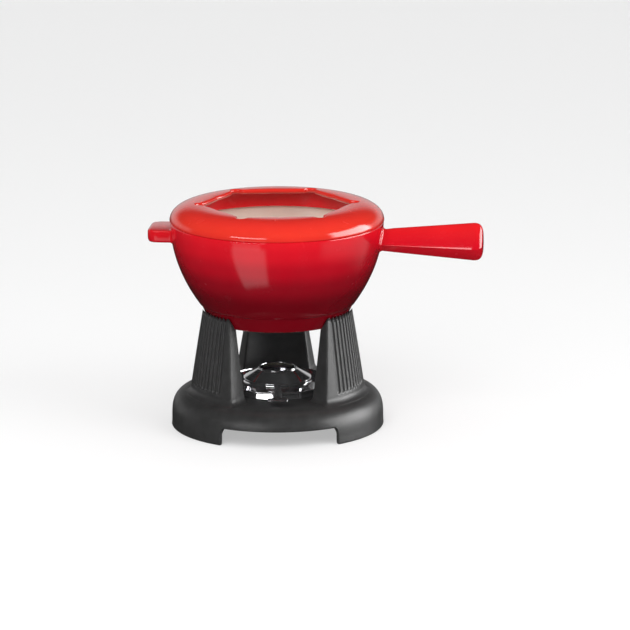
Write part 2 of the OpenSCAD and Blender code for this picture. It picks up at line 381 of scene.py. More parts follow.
def enamel(name, low_z, high_z, stops):
    """Vitreous enamel: a clear gloss coat over coloured glass that waves faintly."""
    material, tree, shader = new_material(name)
    place = noise_bump(tree, shader, [(22, 0.04), (260, 0.012)], 0.0004)
    colour = height_colour(tree, place, low_z, high_z, stops)
    tree.links.new(vary(tree, place, colour, 35, 0.04), shader.inputs["Base Color"])
    vary_roughness(tree, place, shader, 60, 0.20, 0.28)
    shader.inputs["Specular IOR Level"].default_value = 0.12
    shader.inputs["Coat Weight"].default_value = 1.0
    shader.inputs["Coat Roughness"].default_value = 0.035
    shader.inputs["Coat IOR"].default_value = 1.5
    return material


def cast_iron():
    """Satin black enamel that lets the casting's fine grain through."""
    material, tree, shader = new_material("satin_black_iron")
    place = noise_bump(tree, shader, [(1500, 0.12), (3000, 0.16)], 0.0003)
    base = plain_colour(tree, (0.027, 0.027, 0.027))
    tree.links.new(vary(tree, place, base, 120, 0.18), shader.inputs["Base Color"])
    vary_roughness(tree, place, shader, 900, 0.34, 0.46)
    shader.inputs["Specular IOR Level"].default_value = 0.55
    return material


def chrome(name, tone, low, high):
    """Polished metal with a faint waviness and patches of slightly duller polish."""
    material, tree, shader = new_material(name)
    place = noise_bump(tree, shader, [(60, 0.05), (900, 0.03)], 0.0004)
    base = plain_colour(tree, tone)
    tree.links.new(vary(tree, place, base, 50, 0.05), shader.inputs["Base Color"])
    vary_roughness(tree, place, shader, 260, low, high)
    shader.inputs["Metallic"].default_value = 0.97
    return material


def felt():
    """Rough pale mineral fibre."""
    material, tree, shader = new_material("mineral_felt")
    place = noise_bump(tree, shader, [(500, 0.5), (1800, 0.6)], 0.001)
    base = plain_colour(tree, (0.62, 0.58, 0.48))
    tree.links.new(vary(tree, place, base, 300, 0.2), shader.inputs["Base Color"])
    vary_roughness(tree, place, shader, 400, 0.85, 1.0)
    return material


# The bowl's red runs from light at the rim to dark near the foot: partly the enamel's own graded
# colour, partly painted shade on the lower wall, which faces down towards the floor.
RED_BOWL_TONE_AND_SHADE = enamel("red_enamel_bowl_tone_and_shade", SEAT_Z * MM, RIM_Z * MM, [
    (0.0, (0.150, 0.0006, 0.0050)),
    (0.30, (0.130, 0.0005, 0.0045)),
    (0.50, (0.230, 0.0007, 0.0070)),
    (0.68, (0.380, 0.0012, 0.0095)),
    (0.86, (0.540, 0.0030, 0.0120)),
    (1.0, (0.620, 0.0055, 0.0140)),
])
RED_RING = enamel("red_enamel_ring", RIM_Z * MM, RING_TOP * MM, [
    (0.0, (0.62, 0.022, 0.015)),
    (0.4, (0.66, 0.029, 0.016)),
    (1.0, (0.68, 0.024, 0.016)),
])
# The ring's inside faces, from the lip's underside down the flange, get a second copy of its red, less
# orange and darker towards the top: painted shade in the hollow under the lip.
RED_FLANGE_PAINTED_SHADE = enamel("red_enamel_flange_painted_shade", RIM_Z * MM - 0.006, RING_TOP * MM, [
    (0.0, (0.90, 0.004, 0.014)),
    (0.6, (0.75, 0.003, 0.012)),
    (1.0, (0.52, 0.002, 0.010)),
])
# The handle's and the lug's red darkens towards their undersides: painted shade below them.
RED_HANDLE_PAINTED_SHADE = enamel("red_enamel_handle_painted_shade", *HANDLE_PAINTED_SHADE_HEIGHTS, [
    (0.0, (0.40, 0.001, 0.009)),
    (0.35, (0.52, 0.002, 0.011)),
    (1.0, (0.64, 0.009, 0.013)),
])
CREAM = enamel("cream_enamel", FLOOR_Z * MM, RIM_Z * MM, [
    (0.0, (0.88, 0.80, 0.70)),
    (1.0, (0.90, 0.82, 0.72)),
])
IRON = cast_iron()
CHROME = chrome("burner_chrome", (0.86, 0.86, 0.88), 0.05, 0.10)
LEVER_STEEL = chrome("lever_chrome", (0.62, 0.62, 0.64), 0.12, 0.22)
GAUZE_STEEL = chrome("gauze_wire", (0.45, 0.44, 0.42), 0.3, 0.45)
FELT = felt()


# ---------------------------------------------------------------- stand

def arch_edge():
    """Lower edge of a third of the stand's wall, as (degrees from the arch's middle, z)."""
    per_degree = math.radians(1) * STAND_R
    side = ARCH_HALF_ANGLE * per_degree
    end = 60 * per_degree
    path = rounded_path([
        (-end, 0, 0), (-side, 0, 2.0), (-side, ARCH_H, 4.0),
        (side, ARCH_H, 4.0), (side, 0, 2.0), (end, 0, 0),
    ], steps=6)
    path = subdivide(path, 3.0)
    return path[:-1], left_normals(path)[:-1], per_degree


def make_stand_base():
    """Hollow base: plate, rounded shoulder and a wall cut by three arches, all edges rounded."""
    path, inward, per_degree = arch_edge()
    edge = np.vstack([path + [k * 120 * per_degree, 0] for k in range(3)])
    inward = np.vstack([inward] * 3)
    count = len(edge)
    even = np.arange(count) / count * 360 * per_degree + edge[0, 0]
    edge_round = 1.6
    wall_top = 24.0

    def ring_row(s, z, inset):
        """A row of the wall at arc lengths s and heights z, set in from its surface."""
        turn = s / per_degree - 90 + STAND_TURN
        a = np.radians(turn)
        r = np.array([shoulder_radius(max(0.0, h)) for h in z]) - inset
        return np.stack([r * np.cos(a), r * np.sin(a), z], axis=1)

    def wall_rows(inset, top_z, steps):
        """Rows from the rounded lower edge up towards a level, evenly spaced one."""
        start = edge + inward * edge_round
        rows = []
        for k in range(steps):
            t = (k / steps) ** 0.8
            mix_s = start[:, 0] * (1 - t) + even * t
            mix_z = start[:, 1] * (1 - t) + top_z * t
            rows.append(ring_row(mix_s, mix_z, inset))
        return rows

    level = np.full(count, 1.0)
    a = np.radians(even / per_degree - 90 + STAND_TURN)
    circle = np.stack([np.cos(a), np.sin(a)], axis=1)

    def circle_row(r, z):
        """A level circle of evenly spaced points."""
        return np.hstack([circle * r, (level * z)[:, None]])

    rows = [circle_row(r, PLATE_Z) for r in (0.0, 20, 45, 60, 70)]
    heights = PLATE_Z - (PLATE_Z - wall_top) * (1 - np.cos(np.linspace(0, np.pi / 2, 18)[1:-1]))
    rows += [circle_row(shoulder_radius(z), z) for z in heights[heights < PLATE_Z - 0.01]]
    rows += wall_rows(0.0, wall_top, 8)[::-1]
    for k in range(1, 6):
        bend = math.radians(90 * k / 5)
        at = edge + inward * edge_round * (1 - math.sin(bend))
        rows.append(ring_row(at[:, 0], at[:, 1], edge_round * (1 - math.cos(bend))))
    for k in range(5):
        bend = math.radians(90 * (1 - k / 5))
        at = edge + inward * edge_round * (1 - math.sin(bend))
        rows.append(ring_row(at[:, 0], at[:, 1], SHELL_T - edge_round * (1 - math.cos(bend))))
    inner_top = 20.0
    inner_wall_r = shoulder_radius(inner_top) - SHELL_T
    rows += wall_rows(SHELL_T, inner_top, 8)
    ceiling = rounded_path([
        (inner_wall_r, inner_top, 0), (inner_wall_r - 1, PLATE_Z - SHELL_T, 12),
        (0.0, PLATE_Z - SHELL_T, 0),
    ], steps=10)
    rows += [circle_row(max(0.0, r), z) for r, z in ceiling]
    points = np.vstack(rows)
    faces = grid_faces(len(rows), count)
    return make_piece("stand_base_casting", points, faces, [IRON], "stand",
                      ["stand_base"])


def flute_depth_at(angle, z):
    """Depth of the flutes at an angle across the leg and a height."""
    pitch = 2 * FLUTE_SPREAD / FLUTES
    if abs(angle) >= FLUTE_SPREAD:
        return 0.0
    across = ((angle + FLUTE_SPREAD) % pitch) / pitch * 2 - 1
    if abs(across) >= FLUTE_WIDTH - 1e-6:
        return 0.0
    start_z = PLATE_Z + FLUTE_START
    groove_half = FLUTE_WIDTH * pitch / 2 * math.radians(1) * LEG_FOOT_R
    fade = 1.0
    if z < start_z + groove_half:
        fade = max(0.0, 1 - ((start_z + groove_half - z) / groove_half) ** 2)
    lens = max(0.0, fade - (across / FLUTE_WIDTH) ** 2)
    # The flutes run out to a trace just below the leg's highest point.
    run_out = min(1.0, max(0.05, (FLUTE_END_Z - z) / FLUTE_RUN_OUT))
    return FLUTE_DEPTH * run_out * math.sqrt(lens)


def leg_outline(z):
    """Closed outline of a leg that points to +X, at a height."""
    share = (z - PLATE_Z) / (LEG_CUT_Z - PLATE_Z)
    outer_r = LEG_FOOT_R + (LEG_TOP_R - LEG_FOOT_R) * share
    width = LEG_FOOT_W + (LEG_TOP_W - LEG_FOOT_W) * share
    corner_x = math.sqrt(outer_r ** 2 - width ** 2 / 4)
    corner_angle = math.degrees(math.atan2(width / 2, corner_x))
    lean = math.tan(math.radians(LEG_SIDE_ANGLE))
    inner_half = width / 2
    for _ in range(6):
        inner_x = math.sqrt(LEG_INNER_R ** 2 - inner_half ** 2)
        inner_half = width / 2 + (inner_x - corner_x) * lean
    inner_angle = math.degrees(math.asin(inner_half / LEG_INNER_R))
    pitch = 2 * FLUTE_SPREAD / FLUTES
    within = np.array([-1, -FLUTE_WIDTH, -0.72, -0.55, -0.28, 0, 0.28, 0.55, 0.72, FLUTE_WIDTH])
    fluted = [-FLUTE_SPREAD + pitch * (k + (w + 1) / 2) for k in range(FLUTES) for w in within]
    fluted = np.array(fluted + [FLUTE_SPREAD])
    reach = min(FLUTE_SPREAD, corner_angle - 2.2)
    arris_round = 1.3
    band = corner_angle - 1.9
    angles = [-corner_angle, -band, *(fluted * reach / FLUTE_SPREAD), band, corner_angle]
    flat = [-FLUTE_SPREAD - 9] * 2 + list(fluted) + [FLUTE_SPREAD + 9] * 2
    outline = []
    for angle, flute_angle in zip(angles, flat):
        r = outer_r - flute_depth_at(flute_angle, z)
        a = math.radians(angle)
        is_corner = abs(abs(angle) - corner_angle) < 1e-9
        outline.append((r * math.cos(a), r * math.sin(a), arris_round if is_corner else 0))
    for angle in np.linspace(inner_angle, -inner_angle, 15):
        a = math.radians(angle)
        is_corner = abs(abs(angle) - inner_angle) < 1e-9
        outline.append((LEG_INNER_R * math.cos(a), LEG_INNER_R * math.sin(a), 1.5 if is_corner else 0))
    return rounded_path(outline, closed=True, steps=4)


def outward(outline):
    """Outward normals of a closed outline that runs anticlockwise."""
    step = np.roll(outline, -1, axis=0) - np.roll(outline, 1, axis=0)
    step /= np.linalg.norm(step, axis=1)[:, None]
    return np.stack([step[:, 1], -step[:, 0]], axis=1)


def seat_height(r):
    """Height at which a leg's top meets the ledge or the slope under the pot's foot ring."""
    foot_top_r = bowl_radius(POT_H - FOOT_H)
    slope = (FOOT_H - FOOT_BEVEL_H) / (foot_top_r - FOOT_R - FOOT_BEVEL_R)
    meets = SEAT_Z + FOOT_BEVEL_H + slope * (r - FOOT_R - FOOT_BEVEL_R - SEAT_GAP)
    return min(LEG_CUT_Z, max(SEAT_Z, meets))


def make_leg(node, azimuth):
    """A fluted, tapering leg that flares into the plate by a fillet and ends in the pot's seat."""
    fillet = 5.5
    count = len(leg_outline(PLATE_Z + 1))
    outline_cache = {}

    def outline_at(z):
        """The leg's outline at a height, worked out once."""
        key = round(z, 2)
        if key not in outline_cache:
            outline_cache[key] = leg_outline(key)
        return outline_cache[key]

    rows = []
    normals = outward(leg_outline(PLATE_Z + 6))
    for k in range(9):
        bend = math.radians(90 * k / 8)
        lift = fillet * (1 - math.sin(math.radians(90) - bend))
        spread = fillet * (1 - math.sin(bend))
        base = outline_at(PLATE_Z + lift)
        spot = base + normals * spread
        z = np.array([plate_height(np.linalg.norm(p)) for p in spot]) + lift - 0.05
        rows.append(np.hstack([spot, z[:, None]]))
    foot_z = rows[-1][:, 2]
    top_z = np.full(count, float(SEAT_Z + 5))
    for _ in range(5):
        spots = [outline_at(z)[j] for j, z in enumerate(top_z)]
        top_z = np.array([seat_height(np.linalg.norm(p)) for p in spots])
    flute_ends = np.linspace(0.04, 0.115, 11)
    for t in [0.02, *flute_ends, *np.linspace(0.16, 1.0, 16)]:
        z = foot_z + (top_z - foot_z) * t
        spot = np.array([outline_at(h)[j] for j, h in enumerate(z)])
        rows.append(np.hstack([spot, z[:, None]]))
    rim = rows[-1]
    middle = np.array([(LEG_INNER_R + LEG_TOP_R) / 2 - 1.5, 0.0])
    for inset in (0.5, 1.2, 2.5, 4.5):
        hub = middle + np.stack([np.zeros(count), rim[:, 1] * 0.8], axis=1)
        toward = hub - rim[:, :2]
        far = np.linalg.norm(toward, axis=1)
        spot = rim[:, :2] + toward * (np.minimum(inset, far * 0.97) / far)[:, None]
        z = np.array([seat_height(np.linalg.norm(p)) for p in spot])
        rows.append(np.hstack([spot, z[:, None]]))
    points = turned(np.vstack(rows), azimuth + STAND_TURN)
    faces = capped_faces(len(rows), count)
    return make_piece(node + "_casting", points, faces, [IRON], "stand", [node])


# ---------------------------------------------------------------- pot

def make_bowl():
    """The pot's bowl on its foot ring: red outside, cream inside and black beneath."""
    crease_depth = POT_H - FOOT_H
    foot = rounded_path([
        (0, SEAT_Z + 3.5, 0), (FOOT_R - 7.5, SEAT_Z + 3.5, 2.0), (FOOT_R - 6, SEAT_Z, 0.9),
        (FOOT_R, SEAT_Z, 1.6), (bowl_radius(crease_depth) - 1.6, RIM_Z - crease_depth - 1.2, 1.6),
        (bowl_radius(crease_depth - 1), RIM_Z - crease_depth + 1.0, 0),
    ], steps=6)
    wall = np.array([
        (bowl_radius(depth), RIM_Z - depth) for depth in np.linspace(crease_depth - 3, 3.0, 46)
    ])
    inner_depth = RIM_Z - FLOOR_Z - INNER_ROUND_H
    rim = rounded_path([
        (bowl_radius(3.0), RIM_Z - 3, 0), (bowl_radius(0), RIM_Z, 1.3),
        (bowl_radius(0) - POT_WALL, RIM_Z, 1.3), (bowl_radius(3.0) - POT_WALL, RIM_Z - 3, 0),
    ], steps=5)
    inside = np.array([
        (bowl_radius(depth) - POT_WALL, RIM_Z - depth) for depth in np.linspace(4.0, inner_depth, 40)
    ])
    low_r = bowl_radius(inner_depth) - POT_WALL
    bends = np.radians(np.linspace(6, 90, 14))
    corner_r = low_r - INNER_ROUND_R + INNER_ROUND_R * np.cos(bends)
    corner_z = FLOOR_Z + INNER_ROUND_H - INNER_ROUND_H * np.sin(bends)
    corner = np.stack([corner_r, corner_z], axis=1)
    floor = np.array([(20, FLOOR_Z), (0, FLOOR_Z)])
    profile = np.vstack([foot, wall, rim[1:], inside, corner, floor])
    underside_points = 8
    inner_from = len(foot) + len(wall) + len(rim) - 5
    return lathe(
        "pot_bowl_enamel", profile, [IRON, RED_BOWL_TONE_AND_SHADE, CREAM], "pot", ["pot_bowl"],
        segments=256, closed=False, changes=(underside_points, inner_from),
    )


def bowl_surface_x(y, z):
    """Distance along X at which a line parallel to X meets the bowl."""
    r = bowl_radius(np.clip(RIM_Z - z, 0, POT_H - FOOT_H))
    return np.sqrt(np.maximum(r ** 2 - y ** 2, 1.0))


def make_limb(name, node, stations, section, fillet, turn, material):
    """A casting that grows out of the bowl along X: section(x) gives (y, z) outlines."""
    first = section(stations[0])
    normals = outward(first)
    rows = []
    for k in range(8):
        bend = math.radians(90 * k / 7)
        spread = fillet * (1 - math.sin(bend))
        lift = fillet * (1 - math.cos(bend))
        yz = first + normals * spread
        x = bowl_surface_x(yz[:, 0], yz[:, 1]) + lift - 0.15
        rows.append(np.stack([x, yz[:, 0], yz[:, 1]], axis=1))
    start = rows[-1][:, 0]
    blend_steps = 6
    for k in range(1, blend_steps + 1):
        t = k / blend_steps
        x = start * (1 - t) + stations[1] * t
        here = section(stations[0] + (stations[1] - stations[0]) * t)
        rows.append(np.stack([x, here[:, 0], here[:, 1]], axis=1))
    for station in stations[2:]:
        here = section(station)
        rows.append(np.stack([np.full(len(here), station), here[:, 0], here[:, 1]], axis=1))
    count = len(first)
    points = turned(np.vstack(rows), turn)
    faces = capped_faces(len(rows), count)
    return make_piece(name, points, faces, [material], "pot", [node])


def make_handle():
    """Long handle: crowned above, chamfered below a soft arris, swelling to a blunt end."""
    reach = (handle_high[0] - 0.2) / math.cos(math.radians(POT_TURN))
    root_x, end_length = 104.0, 12.0
    end_x = reach - end_length
    root_size, end_size = (25.0, 21.5), (33.0, 36.6)
    centre = (handle_low[2] + handle_high[2]) / 2

    def section(x):
        """Outline across the piece at a distance from the pot's axis."""
        share = (x - root_x) / (end_x - root_x)
        into_end = np.clip((x - end_x) / end_length, 0, 1)
        shrink = (1 - into_end ** 3) ** 0.25
        width = (root_size[0] + (end_size[0] - root_size[0]) * share) * max(shrink, 0.03)
        height = (root_size[1] + (end_size[1] - root_size[1]) * share) * max(shrink, 0.03)
        arris = centre - 0.14 * height
        top, bottom = 0.64 * height, 0.36 * height
        outline = []
        for turn in np.linspace(-90, 90, 41):
            rise = math.cos(math.radians(turn))
            side = (1 - 0.42 * rise) * math.sqrt(1 - rise ** 3)
            outline.append((-math.copysign(side, turn) * width / 2, arris + top * rise, 0.0))
        outline[0] = (outline[0][0], outline[0][1], 0.6)
        outline[-1] = (outline[-1][0], outline[-1][1], 0.6)
        chamfer = 0.3
        low_round = min(5.0, 0.3 * bottom)
        outline.append((-width / 2 * chamfer, arris - bottom, low_round))
        outline.append((width / 2 * chamfer, arris - bottom, low_round))
        return rounded_path(outline, closed=True, steps=6)

    stations = [root_x, 116.0, *np.linspace(122, end_x, 10)]
    stations += [end_x + end_length * math.sin(math.radians(a)) for a in np.linspace(9, 88, 14)]
    return make_limb("long_handle_enamel", "pot_handle", stations, section, 3.2, POT_TURN, RED_HANDLE_PAINTED_SHADE)


def make_lug():
    """Flat lug opposite the handle, straight-sided with rounded corners in plan."""
    reach = -lug_low[0] - 0.6
    top = lug_high[2]
    thick = lug_high[2] - lug_low[2]
    half_w = 23.0
    plan_round, tip_round = 11.0, 3.4
    root_x = 99.0

    def drawn_in(radius, from_tip):
        """How far a rounded tip lies inside its square outline."""
        if from_tip >= radius:
            return 0.0
        return radius - math.sqrt(max(radius ** 2 - (radius - from_tip) ** 2, 0.0))

    def section(x):
        """Outline across the piece at a distance from the pot's axis."""
        from_tip = max(reach - x, 0.0)
        half = half_w - drawn_in(plan_round, from_tip)
        squeeze = drawn_in(tip_round, from_tip)
        high = top - squeeze * 0.6
        low = top - thick + squeeze
        height = max(high - low, 0.2)
        bulge = 0.5
        corners = [
            (half - 0.4, high, min(1.4, height * 0.3)), (half + bulge, (high + low) / 2, 40.0),
            (half - 0.6, low, min(3.6, height * 0.4)), (-half + 0.6, low, min(3.6, height * 0.4)),
            (-half - bulge, (high + low) / 2, 40.0), (-half + 0.4, high, min(1.4, height * 0.3)),
        ]
        return rounded_path(corners, closed=True, steps=6)[::-1]

    stations = [root_x, 110.0, 114.0]
    stations += [reach - plan_round * (1 - math.sin(math.radians(a))) for a in np.linspace(0, 88, 18)]
    return make_limb("side_lug_enamel", "pot_lug", stations, section, 2.4, 180 + POT_TURN, RED_HANDLE_PAINTED_SHADE)


def make_ring():
    """Domed guard ring with its six-notched opening, thick lip and flange inside the rim."""
    segments = 720
    flat_r = 74.0
    power = 2.3
    rise = RING_TOP - RIM_Z
    lip = 4.6
    flange_r = POT_R - POT_WALL - 1.3
    flange_t = 4.5

    def dome_z(r):
        """Height of the domed top at a radius."""
        out = min(1.0, max(0.0, (r - flat_r) / (RING_R - flat_r)))
        return RIM_Z + rise * (1 - out ** power) ** (1 / power)

    columns = []
    for k in range(segments):
        turn = 360 * k / segments
        inner = opening_radius(turn)
        shoulder = np.radians(np.linspace(4, 90, 26))
        dome = [(RING_R - 0.5, RIM_Z + 0.25), (RING_R - 0.05, RIM_Z + 1.0)]
        for a in shoulder:
            r = flat_r + (RING_R - flat_r) * math.cos(a) ** (2 / power)
            z = RIM_Z + rise * math.sin(a) ** (2 / power)
            dome.append((r, max(z, RIM_Z + 1.2)))
        dome = np.array(dome)
        lip_r = lip / 2
        limit = inner + lip_r + 0.6
        spots = []
        for r, z in dome:
            spots.append((max(r, limit), dome_z(max(r, limit)) if r < limit else z))
        top_z = dome_z(inner + lip_r)
        for a in np.linspace(90, -90, 13):
            b = math.radians(a)
            spots.append((inner + lip_r - lip_r * math.cos(b), top_z - lip_r + lip_r * math.sin(b)))
        under_z = top_z - lip
        spots.append((inner + lip_r + 1.0, under_z))
        hollow = rounded_path([
            (inner + lip_r + 1.5, under_z, 0), (flange_r - flange_t - 1.0, under_z - 0.5, 6.0),
            (flange_r - flange_t, RIM_Z - 2, 0),
        ], steps=8)
        spots += [tuple(p) for p in hollow]
        foot = rounded_path([
            (flange_r - flange_t, RIM_Z - 3, 0), (flange_r - flange_t, RIM_Z - 6, 1.2),
            (flange_r, RIM_Z - 6, 1.2), (flange_r, RIM_Z + 0.05, 0.8), (RING_R - 0.9, RIM_Z + 0.05, 0),
        ], steps=4)
        spots += [tuple(p) for p in foot]
        a = math.radians(turn)
        columns.append([(r * math.cos(a), r * math.sin(a), z) for r, z in spots])
    rows = np.array(columns).transpose(1, 0, 2)
    points = rows.reshape(-1, 3)
    faces = grid_faces(rows.shape[0], segments, close_rows=True)
    # From the lip's underside on, the faces take the flange red with its painted shade.
    inside_from = len(dome) + 13
    face_slots = [int(index // segments >= inside_from) for index in range(len(faces))]
    return make_piece("guard_ring_enamel", points, faces, [RED_RING, RED_FLANGE_PAINTED_SHADE], "ring",
                      ["guard_ring"], face_slots)


# ---------------------------------------------------------------- burner

def make_tray():
    """Pressed tray: a flat floor, a wall whose outside leans inward and a rolled rim."""
    floor_z = PLATE_Z
    wall_h = tray_high[2] - tray_low[2]
    sheet = 0.9
    rim = 1.1
    base_z = floor_z + 0.02
    out = rounded_path([
        (0, floor_z + sheet, 0), (30, floor_z + sheet, 1), (TRAY_R - 7, floor_z + sheet + 0.2, 5),
        (TRAY_R - 2.5 - sheet, floor_z + wall_h - 2.2, 0),
    ], steps=8)
    roll = [
        (TRAY_R - rim + rim * math.cos(math.radians(a)),
         floor_z + wall_h - rim + rim * math.sin(math.radians(a)))
        for a in np.linspace(180, -90, 15)
    ]
    lean = 0.285
    foot_r = TRAY_R - 0.9
    under = rounded_path([
        (foot_r - (wall_h - 2.4) * lean, floor_z + wall_h - 2.4, 0),
        (foot_r - (wall_h - 2.8) * lean, floor_z + wall_h - 2.8, 0),
        (foot_r - 1.2 * lean, floor_z + 1.2, 0), (foot_r, base_z, 0.8),
        (TRAY_R - 8, base_z, 0), (0, base_z, 0),
    ], steps=6)
    profile = np.vstack([out, roll, under])
    return lathe("burner_tray_chrome", profile, [CHROME], "burner", ["burner_tray"],
                 segments=192, closed=False)


def make_cover():
    """Conical cover: beaded mouth, straight cone, crisp shoulder, band and rolled lower edge."""
    top = cover_high[2]
    low = cover_low[2]
    cone_z = low + 5.0
    mouth = 18.7
    sheet = 0.8
    bead = 0.85
    cone = rounded_path([
        (COVER_R - 0.9, low + 1.4, 0), (COVER_R - 0.4, cone_z, 0.9), (mouth + 0.9, top - 1.9, 1.2),
        (mouth + 0.3, top - bead, 0),
    ], steps=6)
    lip = [
        (mouth - 0.3 + bead * math.cos(math.radians(a)), top - bead + bead * math.sin(math.radians(a)))
        for a in np.linspace(0, 200, 11)
    ]
    inside = rounded_path([
        (mouth - 0.6, top - 2.2, 0), (COVER_R - 0.4 - sheet, cone_z - sheet, 0.8),
        (COVER_R - 0.9 - sheet, low + 1.2, 0),
    ], steps=4)
    roll = [
        (COVER_R - 0.95 + 0.9 * math.cos(math.radians(a)), low + 0.9 + 0.9 * math.sin(math.radians(a)))
        for a in np.linspace(180, 380, 13)
    ]
    profile = np.vstack([cone, lip, inside, roll])
    return lathe("burner_cover_chrome", profile, [CHROME], "cover", ["burner_cover"],
                 segments=192)


def make_strap():
    """Lever strap: a tab on the cover's band, a bridge over the tray's rim and a sloping arm."""
    root_r = -lever_high[1]
    end_r = -lever_low[1]
    over_z = lever_high[2]
    low_z = lever_low[2]
    thick = 1.5
    centre_line = rounded_path([
        (root_r + thick / 2, low_z + 0.2, 0), (root_r + thick / 2, over_z - thick / 2, 1.6),
        (TRAY_R + 3.5, over_z - thick / 2, 9.0), (end_r, over_z - thick / 2 - 3.0, 0),
    ], steps=7)
    centre_line = subdivide(centre_line, 3.0)
    up = left_normals(centre_line)
    count = len(centre_line)
    rows = []
    for k, (spot, lift) in enumerate(zip(centre_line, up)):
        half_w = lever_high[0] * (1 + 0.12 * max(0.0, k / (count - 1) - 0.6))
        crest = thick / 2 + 0.35
        cross = rounded_path([
            (half_w, -thick / 2, 0.4), (half_w, crest, 0.5), (half_w - 1.3, crest, 0.5),
            (half_w - 1.9, thick / 2 - 0.1, 0.4), (-half_w + 1.9, thick / 2 - 0.1, 0.4),
            (-half_w + 1.3, crest, 0.5), (-half_w, crest, 0.5), (-half_w, -thick / 2, 0.4),
        ], closed=True, steps=3)
        for x, n in cross:
            r, z = spot + lift * n
            rows.append((x, -r, z))
    width = len(rows) // count
    faces = capped_faces(count, width)
    return make_piece("lever_strap_steel", rows, faces, [LEVER_STEEL], "cover",
                      ["lever_arm"])


def make_grip():
    """Small grip plate across the strap's end, with rounded edges and a pressed panel."""
    half_w = grip_high[0]
    near, far = -grip_high[1], -grip_low[1]
    low, high = grip_low[2], grip_high[2]
    round_r = 0.7

    def loop(inset):
        """The plate's outline in plan, drawn in by an inset."""
        corners = [
            (half_w - inset, near + inset, 1.6), (half_w - inset, far - inset, 1.6),
            (-half_w + inset, far - inset, 1.6), (-half_w + inset, near + inset, 1.6),
        ]
        return rounded_path(corners, closed=True, steps=5)

    rows = []
    for inset, z in [
        (round_r, low), (round_r * 0.3, low + round_r * 0.3), (0, low + round_r),
        (0, high - round_r), (round_r * 0.3, high - round_r * 0.3), (round_r, high),
        (1.5, high), (1.9, high - 0.35), (3.2, high - 0.35),
    ]:
        spot = loop(inset)
        rows.append(np.stack([spot[:, 0], -spot[:, 1], np.full(len(spot), z)], axis=1))
    count = len(rows[0])
    faces = capped_faces(len(rows), count)
    return make_piece("lever_grip_steel", np.vstack(rows), faces, [LEVER_STEEL], "cover",
                      ["lever_grip"])


def make_gauze():
    """Plain-woven wire gauze: two crossing sets of wires that pass over and under."""
    radius = gauze_high[0]
    mid_z = (gauze_high[2] + gauze_low[2]) / 2
    pitch, wire = 1.7, 0.22
    points, faces = [], []
    lanes = np.arange(-math.floor(radius / pitch) + 0.5, radius / pitch) * pitch
    for direction in (0, 1):
        for lane_index, lane in enumerate(lanes):
            half = math.sqrt(max(radius ** 2 - lane ** 2, 0)) - 0.3
            if half < pitch:
                continue
            steps = max(4, int(2 * half / pitch * 4))
            start = len(points)
            sign = 1 if (lane_index + direction) % 2 else -1
            for t in np.linspace(-half, half, steps):
                z = mid_z + sign * wire * math.sin(math.pi * t / pitch)
                for a in np.radians([45, 135, 225, 315]):
                    side, lift = wire * math.cos(a), wire * math.sin(a)
                    x, y = (t, lane + side) if direction == 0 else (lane + side, t)
                    points.append((x, y, z + lift * 0.9))
            faces += capped_faces(steps, 4, start)
    return make_piece("wire_gauze_woven", points, faces, [GAUZE_STEEL], "cup",
                      ["wire_gauze"])


def make_pad():
    """Felted pad with an uneven top."""
    radius = pad_high[0] - 0.2
    rng = np.random.default_rng(7)
    profile = rounded_path([
        (0, pad_low[2] + 0.05, 0), (radius, pad_low[2] + 0.05, 0.8), (radius, pad_high[2] - 0.25, 1.2),
        (0, pad_high[2] - 0.25, 0),
    ], steps=4)
    profile = subdivide(profile, 1.5)
    segments = 96
    points = lathe_points(profile, segments)
    lumps = rng.normal(0, 0.06, len(points))
    inside = np.linalg.norm(points[:, :2], axis=1) < radius - 1.5
    points[:, 2] += np.where(inside & (points[:, 2] > pad_low[2] + 2), -np.abs(lumps), 0)
    points[:segments, 2] = profile[0][1]
    points[-segments:, 2] = profile[-1][1]
    faces = grid_faces(len(profile), segments)
    return make_piece("fuel_pad_felt", points, faces, [FELT], "cup", ["fuel_pad"])


def finish_cad_node(node, material):
    """Gives a CAD node that stays in view its procedural material."""
    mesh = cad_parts[node].data
    if mesh.materials:
        for index in range(len(mesh.materials)):
            mesh.materials[index] = material
    else:
        mesh.materials.append(material)


# ---------------------------------------------------------------- stage, light and camera

DOME_LOW = 0.62
DOME_HIGH = 0.85
STUDIO_DARK = 0.012


def make_floor():
    """White table top, lit a little from within like a light table."""
    size = 12.0
    mesh = bpy.data.meshes.new("floor")
    corners = [(-size, -size, 0), (size, -size, 0), (size, size, 0), (-size, size, 0)]
    mesh.from_pydata(corners, [], [(0, 1, 2, 3)])
    material, _, shader = new_material("pale_floor")
    shader.inputs["Base Color"].default_value = (0.50, 0.50, 0.50, 1)
    shader.inputs["Roughness"].default_value = 0.8
    shader.inputs["Specular IOR Level"].default_value = 0.1
    shader.inputs["Emission Color"].default_value = (1, 1, 1, 1)
    shader.inputs["Emission Strength"].default_value = 0.42
    mesh.materials.append(material)
    floor = bpy.data.objects.new("floor", mesh)
    floor.visible_glossy = False
    bpy.context.scene.collection.objects.link(floor)


def soft_box(tree, value, low, high, edge):
    """A mask that is 1 between two limits of a value, with soft edges."""
    rise = add_node(tree, "ShaderNodeMapRange", interpolation_type="SMOOTHSTEP")
    rise.inputs["From Min"].default_value = low - edge
    rise.inputs["From Max"].default_value = low + edge
    fall = add_node(tree, "ShaderNodeMapRange", interpolation_type="SMOOTHSTEP")
    fall.inputs["From Min"].default_value = high - edge
    fall.inputs["From Max"].default_value = high + edge
    fall.inputs["To Min"].default_value = 1
    fall.inputs["To Max"].default_value = 0
    tree.links.new(value, rise.inputs["Value"])
    tree.links.new(value, fall.inputs["Value"])
    return math_node(tree, "MULTIPLY", rise.outputs["Result"], fall.outputs["Result"])


